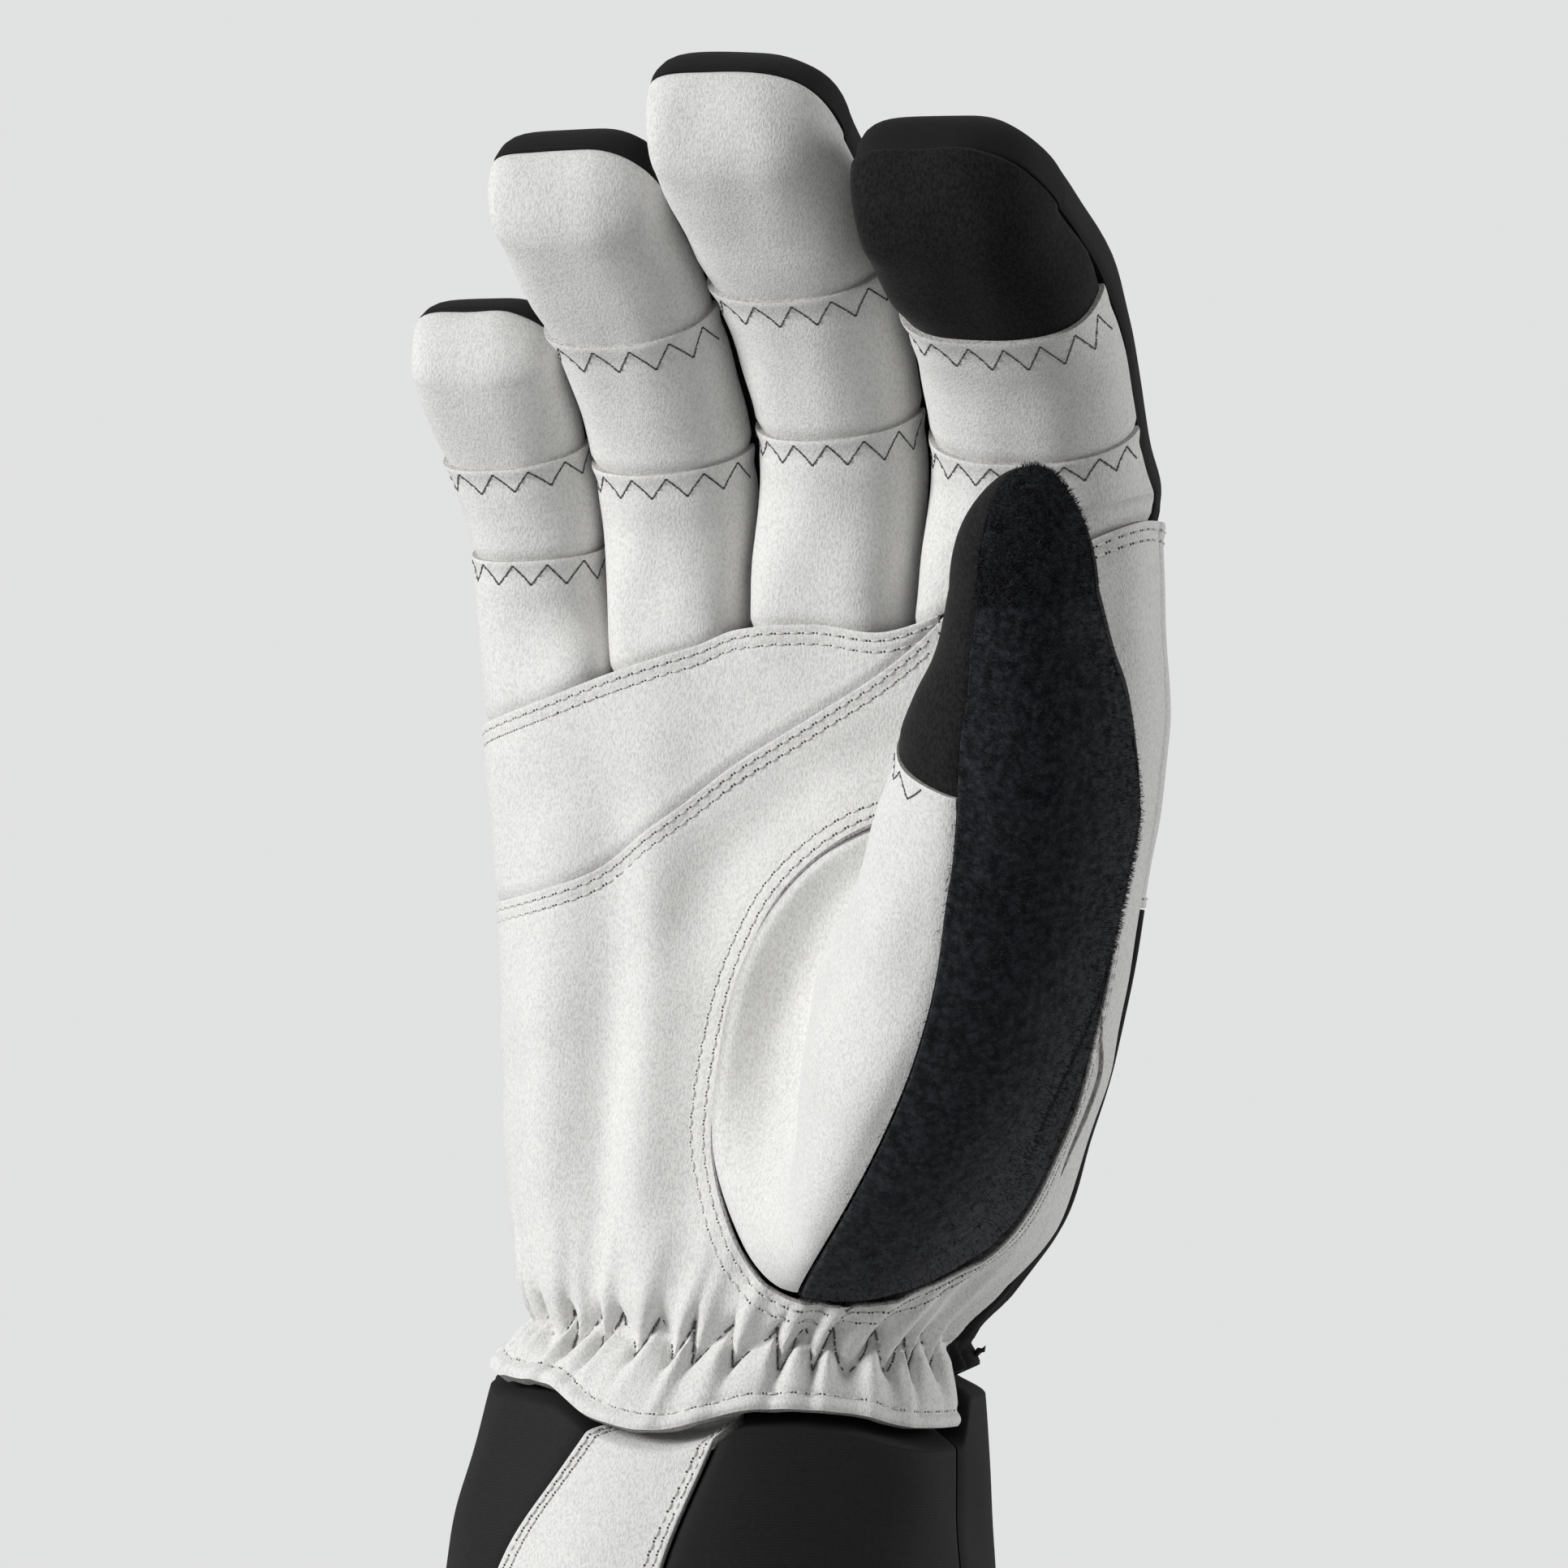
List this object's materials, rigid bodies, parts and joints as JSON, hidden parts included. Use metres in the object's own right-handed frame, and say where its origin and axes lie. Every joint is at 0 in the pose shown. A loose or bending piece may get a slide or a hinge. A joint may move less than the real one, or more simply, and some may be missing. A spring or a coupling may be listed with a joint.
{
  "type": "ski touring glove",
  "caption": "Right-hand ski touring glove with a leather palm, softshell back, fleece thumb pad, gathered wrist and a knit cuff, in its worn shape.",
  "frame": {"origin": "centre of the cuff's open rim, where the hand goes in", "axes": "+Z from the cuff to the fingertips, the palm faces -Y and the thumb side is +X"},
  "size_m": [0.123, 0.1122, 0.2638],
  "materials": {
    "white_leather": "off-white napped goat leather",
    "softshell": "black fine knit softshell",
    "touch_fabric": "smooth black microfibre",
    "fleece": "charcoal pile fleece",
    "cuff_fabric": "black stretch weave"
  },
  "bodies": {
    "root": {"palm_main": "white_leather", "palm_upper": "white_leather", "index_side_patch": "white_leather", "back_panel": "softshell", "pinky_tip": "white_leather", "pinky_middle": "white_leather", "pinky_base": "white_leather", "pinky_back": "softshell", "ring_tip": "white_leather", "ring_middle": "white_leather", "ring_base": "white_leather", "ring_back": "softshell", "middle_tip": "white_leather", "middle_middle": "white_leather", "middle_base": "white_leather", "middle_back": "softshell", "index_touch_tip": "touch_fabric", "index_middle": "white_leather", "index_base": "white_leather", "index_back": "softshell", "thumb_leather": "white_leather", "thumb_touch_tip": "touch_fabric", "thumb_fleece": "fleece", "thumb_back": "softshell", "cuff_left": "cuff_fabric", "cuff_strip": "white_leather", "cuff_right": "cuff_fabric", "cuff_back": "cuff_fabric"}
  },
  "joints": []
}
